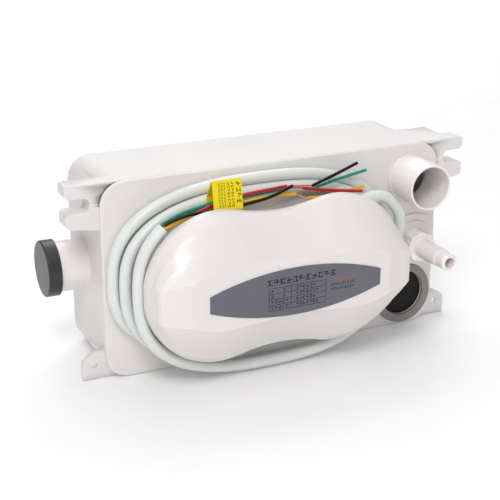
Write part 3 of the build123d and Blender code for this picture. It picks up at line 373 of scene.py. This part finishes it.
def cordCurve(name, points, diameter, material, radii=None):
    curve = roundCurve(name, diameter, cordBuild["ringSteps"], material)
    addRun(curve, points, cordBuild["runSteps"], radii)
    return onHousing(name, curve)


def lengthOf(points):
    # a second-order line runs from middle to middle of its control runs, near enough
    middles = [points[0]] + [(a + b) / 2 for a, b in zip(points, points[1:])] + [points[-1]]
    return sum((b - a).length for a, b in zip(middles, middles[1:]))


# supply cable: wound on the spool from its gland to the stripped end
cable = {"diameter": 8.0, "middle": (-17.0, 67.5), "squareness": 2.6, "steps": 14,
         "reach": (83.0, 14.0, -120.5, 127.4, 79.8, 8.4, -114.5, 119.8, 74.5, 5.0, -110.6,
                   126.0),
         "depth": (13.2, 5.4, 5.0, 5.0, 5.0, 12.0, 12.4, 7.6, 20.0, 26.0, 26.0, 26.0),
         "heldQuarter": 7, "heldShare": 0.35, "endX": -95.0,
         "leadIn": ((62.1, 20.0, 107.5), (67.5, 20.0, 108.4), (76.0, 20.0, 102.5),
                    (83.6, 19.5, 92.0), (85.2, 17.5, 80.0)),
         "end": (-93.0, 26.0, 109.7)}


def onOval(angle, power):
    # a point on a squared oval of radius one
    return [abs(turn) ** power * (1 if turn >= 0 else -1) for turn in (cos(angle), sin(angle))]


def coilPoints(facts):
    # quarter turns between the stated reaches: right, bottom, left, top, and round again
    points = []
    middleX, middleZ = facts["middle"]
    power = 2 / facts["squareness"]
    reaches, depths = facts["reach"], facts["depth"]
    for quarter in range(len(reaches) - 1):
        across = abs(reaches[quarter + quarter % 2] - middleX)
        rise = abs(reaches[quarter + 1 - quarter % 2] - middleZ)
        for step in range(facts["steps"]):
            share = step / facts["steps"]
            ovalX, ovalZ = onOval(-(quarter + share) * pi / 2, power)
            x = middleX + across * ovalX
            z = middleZ + rise * ovalZ
            held = facts["heldShare"] if quarter == facts["heldQuarter"] else 0.0
            ease = max(0.0, (share - held) / (1 - held))
            ease = ease * ease * (3 - 2 * ease)
            depth = depths[quarter] * (1 - ease) + depths[quarter + 1] * ease
            if quarter == len(reaches) - 2 and x > facts["endX"]:
                return points
            points.append(place(x, depth, z))
    return points


cablePoints = ([place(*spot) for spot in cable["leadIn"]] + coilPoints(cable)
               + [place(*cable["end"])])
supplyCable = cordCurve("supplyCable", cablePoints, cable["diameter"] * mm, sheathWhite)
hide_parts("cable_coil", "cable_tail")
print("supply cable", round(lengthOf(cablePoints), 3), "m")

# the cable's four cores: insulation, a stripped window of copper strands, and a loose sleeve
cores = {"green": {"slot": "core_green", "finish": coreGreen,
                   "route": ((-93.5, 24.7, 111.3), (-83, 23, 115.6), (-69.6, 21.6, 118),
                             (-50.6, 20.6, 120.6), (-27, 19.6, 120.8), (-2, 17.4, 121.4)),
                   "sleeve": ((16.8, 18, 119.2), (38.2, 14.5, 122.3), (60.2, 11, 124.2))},
         "black": {"slot": "core_black", "finish": coreBlack,
                   "route": ((-92.5, 27.4, 112), (-81.3, 28.6, 116.7), (-61, 29, 117.2),
                             (-39.4, 28, 117.9), (-19.6, 26.5, 119.6), (-3, 25, 125)),
                   "sleeve": ((13.4, 22.2, 122.4), (33.4, 17.5, 126.4), (52.1, 12.5, 130.5))},
         "yellow": {"slot": "core_yellow", "finish": coreYellow,
                    "route": ((-93, 27.4, 109.2), (-81.7, 26.7, 113.4), (-61.3, 26.2, 114.6),
                              (-40.2, 25.2, 118.6), (-19.6, 23.5, 119.8), (1.4, 22, 118.1)),
                    "sleeve": ((9, 24.5, 114.9), (25.9, 23.8, 113.9), (53.5, 19, 115.9))},
         "red": {"slot": "core_red", "finish": coreRed,
                 "route": ((-92.5, 24.8, 108.5), (-78.2, 23.6, 112.4), (-61.7, 23.6, 118.4),
                           (-39.2, 22.9, 122.8), (-23.2, 22, 123.5), (-5, 20.4, 123.8)),
                 "sleeve": ((8, 19.2, 120.5), (25.8, 23.5, 117.6), (49.3, 25, 114.7))}}
strand = {"thickness": 0.42, "wound": 0.40, "count": 6, "turns": 1.5, "steps": 18, "neck": 0.25,
          "step": 0.15, "coreDiameter": 2.2, "loose": 0.25, "looseTurn": 2.4, "ringSteps": 2,
          "runSteps": 2}


def strandCurve(name, start, end, facts):
    # copper strands twisted round each other from one cut of the insulation to the next
    curve = roundCurve(name, facts["thickness"] * mm, facts["ringSteps"], copper)
    along = end - start
    across = along.cross(Vector((0, 0, 1))).normalized()
    over = across.cross(along).normalized()
    for number in range(facts["count"]):
        points = []
        for step in range(facts["steps"] + 1):
            share = step / facts["steps"]
            angle = 2 * pi * (number / facts["count"] + share * facts["turns"])
            bulge = facts["loose"] * sin(pi * share) * sin(number * facts["looseTurn"])
            radius = facts["wound"] * mm * (1 + bulge)
            points.append(start + along * share + across * cos(angle) * radius
                          + over * sin(angle) * radius)
        addRun(curve, points, facts["runSteps"])
    strands = onHousing(name, curve)
    return strands


for name, facts in cores.items():
    route = [place(*spot) for spot in facts["route"]]
    sleeve = [place(*spot) for spot in facts["sleeve"]]
    strands = strandCurve(name + "Strands", route[-1], sleeve[0], strand)
    step = (sleeve[0] - route[-1]).normalized() * strand["step"] * mm
    neck = strand["neck"]
    points = route + [route[-1], route[-1] + step, sleeve[0] - step, sleeve[0]] + sleeve
    radii = [1.0] * (len(route) + 1) + [neck, neck] + [1.0] * (len(sleeve) + 1)
    core = cordCurve(name + "Core", points, strand["coreDiameter"] * mm, facts["finish"], radii)
    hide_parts("wire_" + name)
    if name == "green":
        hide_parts("copper_windows")
    print(name, "core", round(lengthOf(points), 3), "m")


# generic print: short bars in character cells, and a ruled table, none of it real writing
def barMesh(name, facts, bars, material):
    # bars are in millimetres across and down the surface, each a thin slab on it
    mesh = bpy.data.meshes.new(name)
    points, faces = [], []
    origin, across, down = facts["origin"], facts["across"].normalized(), facts["down"].normalized()
    out = across.cross(down).normalized()
    if out.y > 0:
        out = -out
    for left, top, rightEnd, bottom in bars:
        first = len(points)
        for lift in (0.0, facts["thickness"]):
            for u, v in ((left, top), (rightEnd, top), (rightEnd, bottom), (left, bottom)):
                points.append(origin + (across * u + down * v + out * lift) * mm)
        for face in ((0, 1, 2, 3), (7, 6, 5, 4), (0, 4, 5, 1), (1, 5, 6, 2), (2, 6, 7, 3),
                     (3, 7, 4, 0)):
            faces.append([first + corner for corner in face])
    mesh.from_pydata(points, [], faces)
    work = bmesh.new()
    work.from_mesh(mesh)
    bmesh.ops.recalc_face_normals(work, faces=work.faces)
    work.to_mesh(mesh)
    work.free()
    mesh.materials.append(material)
    return onHousing(name, mesh)


# one make-believe character, in shares of its height
mark = {"thick": 0.13, "left": 0.08, "top": 0.12, "rise": 0.34, "short": 0.62, "longer": 0.3,
        "stemFrom": 0.18, "stemStep": 0.2, "stemTop": 0.1, "stemFoot": 0.7, "stemLonger": 0.22}


def markBars(u, v, size, seed, turned=False):
    # two or three bars across and one down, which ones by the seed
    bars, thick = [], size * mark["thick"]
    for level in range(3):
        if (seed * 7 + level * 5) % 4:
            top = size * (mark["top"] + mark["rise"] * level)
            bars.append((mark["left"] * size, top,
                         size * (mark["short"] + mark["longer"] * ((seed + level) % 2)),
                         top + thick))
    stem = size * (mark["stemFrom"] + mark["stemStep"] * (seed % 3))
    bars.append((stem, mark["stemTop"] * size, stem + thick,
                 size * (mark["stemFoot"] + mark["stemLonger"] * (seed % 2))))
    if turned:
        bars = [(size - bottom, left, size - top, rightEnd) for left, top, rightEnd, bottom in bars]
    return [(u + left, v + top, u + rightEnd, v + bottom) for left, top, rightEnd, bottom in bars]


def markLine(start, step, size, number, seed, turned=False):
    bars = []
    for count in range(number):
        bars += markBars(start[0] + step[0] * count, start[1] + step[1] * count, size,
                         seed + count, turned)
    return bars


# each cell of the table holds its marks' left, number and pitch; each note its left, top, size
# and number
labelPrint = {"origin": place(-15, 58.5, 66.5), "across": Vector((1, 0, 0)),
              "down": Vector((0, 0, -1)), "thickness": 0.06,
              "title": {"start": (-22.0, -10.6), "size": 4.4, "number": 11, "pitch": 4.488},
              "tableLeft": -20.5, "tableTop": -4.4, "tableRules": (0.0, 15.5, 40.5),
              "rowHeight": 3.8, "line": 0.25, "cellTop": 0.75, "cellSize": 2.3,
              "rows": (((1.6, 2, 8.0), (19.0, 6, 2.4)), ((1.6, 2, 8.0), (19.0, 7, 2.4)),
                       ((1.6, 5, 2.5), (19.0, 6, 2.4)), ((1.6, 5, 2.5), (19.0, 7, 2.4))),
              "head": ((26.5, -4.4, 2.375, 6),), "notes": ((23.5, -1.0, 1.9, 9),
                                                            (23.5, 2.2, 1.9, 9)),
              "notePitch": 1.05}
title = labelPrint["title"]
bars = markLine(title["start"], (title["pitch"], 0), title["size"], title["number"], 1)
tableLeft, tableTop = labelPrint["tableLeft"], labelPrint["tableTop"]
rowHeight, line, rows = labelPrint["rowHeight"], labelPrint["line"], labelPrint["rows"]
tableRight = tableLeft + labelPrint["tableRules"][-1]
for row in range(len(rows) + 1):
    top = tableTop + row * rowHeight
    bars.append((tableLeft, top, tableRight, top + line))
for rule in labelPrint["tableRules"]:
    bars.append((tableLeft + rule, tableTop, tableLeft + rule + line,
                 tableTop + len(rows) * rowHeight))
for row, cells in enumerate(rows):
    for column, (left, number, pitch) in enumerate(cells):
        start = (tableLeft + left, tableTop + row * rowHeight + labelPrint["cellTop"])
        bars += markLine(start, (pitch, 0), labelPrint["cellSize"], number, row * 3 + column)
labelMarks = barMesh("labelMarks", labelPrint, bars, inkBlack)


def noteLines(notes, firstSeed):
    bars = []
    for row, (left, top, size, number) in enumerate(notes):
        bars += markLine((left, top), (size * labelPrint["notePitch"], 0), size, number,
                         firstSeed + row)
    return bars


labelNotes = barMesh("labelNotes", labelPrint, noteLines(labelPrint["notes"], 1), inkBlack)
labelHead = barMesh("labelHead", labelPrint, noteLines(labelPrint["head"], 0), inkOrange)

# the flag's marks run down its outer leaf; each column holds its left, size and number
leafTop, leafFoot = place(-60.5, 27.65, 135.9), place(-60.5, 30.75, 117.5)
flagPrint = {"origin": leafTop, "across": Vector((1, 0, 0)), "down": leafFoot - leafTop,
             "thickness": 0.06, "top": 1.6, "pitch": 1.08,
             "columns": ((16.0, 3.4, 4), (12.6, 1.9, 8), (9.9, 1.9, 8), (7.4, 1.2, 12),
                         (5.6, 1.2, 12), (3.8, 1.2, 12))}
bars = []
for left, size, number in flagPrint["columns"]:
    bars += markLine((left, flagPrint["top"]), (0, size * flagPrint["pitch"]), size, number,
                     number, turned=True)
flagMarks = barMesh("flagMarks", flagPrint, bars, inkBlack)
print("generic print on the label and the flag")

# floor, light and background
stageFacts = {"floorSize": 6.0, "floorDrop": 0.0005, "floorGlow": 0.06,
              "worldStrength": 0.36}
floorMaterial = moulded("studio_floor", (0.92, 0.92, 0.92), (0.905, 0.905, 0.905), 0.9)
floorShader = floorMaterial.node_tree.nodes["Principled BSDF"]
floorShader.inputs["Emission Color"].default_value = (1, 1, 1, 1)
floorShader.inputs["Emission Strength"].default_value = stageFacts["floorGlow"]
floorMesh = bpy.data.meshes.new("floor")
half = stageFacts["floorSize"] / 2
floorMesh.from_pydata([(-half, -half, 0), (half, -half, 0), (half, half, 0), (-half, half, 0)],
                      [], [(0, 1, 2, 3)])
floorMesh.transform(Matrix.Translation((0, 0, -stageFacts["floorDrop"])))
floor = bpy.data.objects.new("floor", floorMesh)
floor.data.materials.append(floorMaterial)
bpy.context.scene.collection.objects.link(floor)

world = bpy.data.worlds.new("studio")
world.use_nodes = True
world.node_tree.nodes["Background"].inputs["Color"].default_value = (1, 1, 1, 1)
world.node_tree.nodes["Background"].inputs["Strength"].default_value = stageFacts["worldStrength"]
bpy.context.scene.world = world
bpy.context.scene.view_settings.view_transform = "Standard"

lamps = {"key": {"spot": (-0.45, -0.70, 1.0), "aim": (0, 0, 0.08), "size": 0.4, "power": 5.8},
         "overhead": {"spot": (0.0, 0.1, 1.0), "aim": (0, 0, 0.08), "size": 0.7, "power": 1.8},
         "front": {"spot": (-0.7, -1.5, 0.7), "aim": (0, 0, 0.06), "size": 1.0, "power": 5.4},
         "backdrop": {"spot": (0.9, 2.1, 1.8), "aim": (0.9, 2.1, 0), "size": 2.5, "power": 48.0}}
for name, facts in lamps.items():
    light = bpy.data.lights.new(name, "AREA")
    light.energy = facts["power"]
    light.size = facts["size"]
    lamp = bpy.data.objects.new(name, light)
    lamp.location = facts["spot"]
    lamp.rotation_euler = (Vector(facts["aim"]) - Vector(facts["spot"])).to_track_quat(
        "-Z", "Y").to_euler()
    bpy.context.scene.collection.objects.link(lamp)
print("stage lit")
